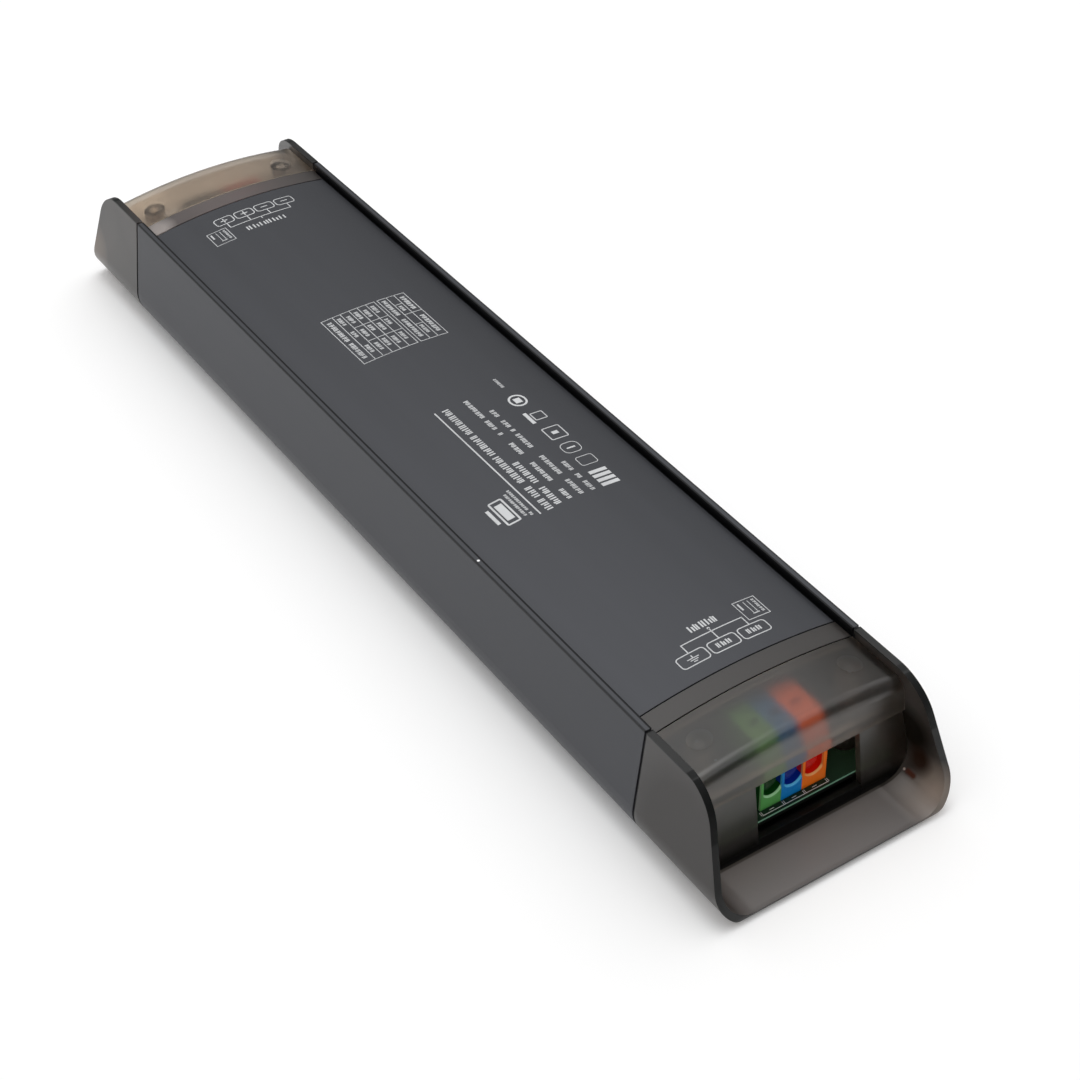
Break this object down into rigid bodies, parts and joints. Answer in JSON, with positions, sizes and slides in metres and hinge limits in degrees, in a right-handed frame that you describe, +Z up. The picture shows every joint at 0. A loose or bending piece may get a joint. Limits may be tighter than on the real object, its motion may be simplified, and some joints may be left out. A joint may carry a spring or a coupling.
{
  "type": "power supply",
  "caption": "Slim enclosed power supply for strip lighting: aluminium channel with a crowned cover and smoky wiring caps over push-in terminals.",
  "frame": {"origin": "under the middle of the base, on the plane it rests on", "axes": "+X along the body towards the mains input, +Z up"},
  "size_m": [0.2974, 0.062, 0.0313],
  "materials": {
    "anodised_aluminium": "dark grey anodised, satin",
    "smoky_plastic": "smoky grey-brown, translucent, fine satin",
    "steel": "zinc plated",
    "polyester_film": "milky film",
    "board_laminate": "green solder resist",
    "green_plastic": "satin",
    "blue_plastic": "satin",
    "orange_plastic": "satin",
    "black_plastic": "satin",
    "red_plastic": "satin",
    "tinned_metal": "tinned",
    "white_ceramic": "glazed",
    "blue_coating": "dipped epoxy",
    "dark_coating": "dipped epoxy",
    "yellow_plastic": "moulded box",
    "ferrite": "ground ferrite",
    "enamelled_copper": "enamelled copper wire",
    "black_epoxy": "moulded epoxy",
    "bare_aluminium": "mill finish",
    "silicone_pad": "matt",
    "capacitor_sleeve": "shrunk sleeve",
    "winding_tape": "polyester tape",
    "red_coating": "dipped epoxy",
    "white_plastic": "moulded"
  },
  "bodies": {
    "root": {"base_channel": "anodised_aluminium", "top_cover": "anodised_aluminium", "input_end_cap": "smoky_plastic", "output_end_cap": "smoky_plastic", "input_wiring_cover": "smoky_plastic", "output_wiring_cover": "smoky_plastic", "end_cap_screws": "steel", "wiring_cover_screws": "steel", "insulating_sheet": "polyester_film", "circuit_board": "board_laminate", "input_earth_housing": "green_plastic", "input_neutral_housing": "blue_plastic", "input_live_housing": "orange_plastic", "input_clamp_springs": "steel", "input_contacts": "tinned_metal", "output_negative_housings": "black_plastic", "output_positive_housings": "red_plastic", "output_clamp_springs": "steel", "output_contacts": "tinned_metal", "fuse": "white_ceramic", "fuse_clips": "tinned_metal", "varistor": "blue_coating", "inrush_thermistor": "dark_coating", "x_capacitors": "yellow_plastic", "y_capacitors": "blue_coating", "filter_choke_cores": "ferrite", "filter_choke_windings": "enamelled_copper", "bridge_rectifier": "black_epoxy", "power_transistors": "black_epoxy", "output_rectifiers": "black_epoxy", "device_screws": "steel", "input_heat_spreader": "bare_aluminium", "output_heat_spreader": "bare_aluminium", "thermal_pads": "silicone_pad", "boost_inductor_core": "ferrite", "boost_inductor_bobbin": "black_plastic", "boost_inductor_winding": "enamelled_copper", "bulk_capacitors": "capacitor_sleeve", "control_board": "board_laminate", "control_chips": "black_epoxy", "transformer_core": "ferrite", "transformer_bobbin": "black_plastic", "transformer_windings": "winding_tape", "resonant_capacitor": "red_coating", "output_capacitors": "capacitor_sleeve", "optocouplers": "white_plastic"}
  },
  "joints": []
}
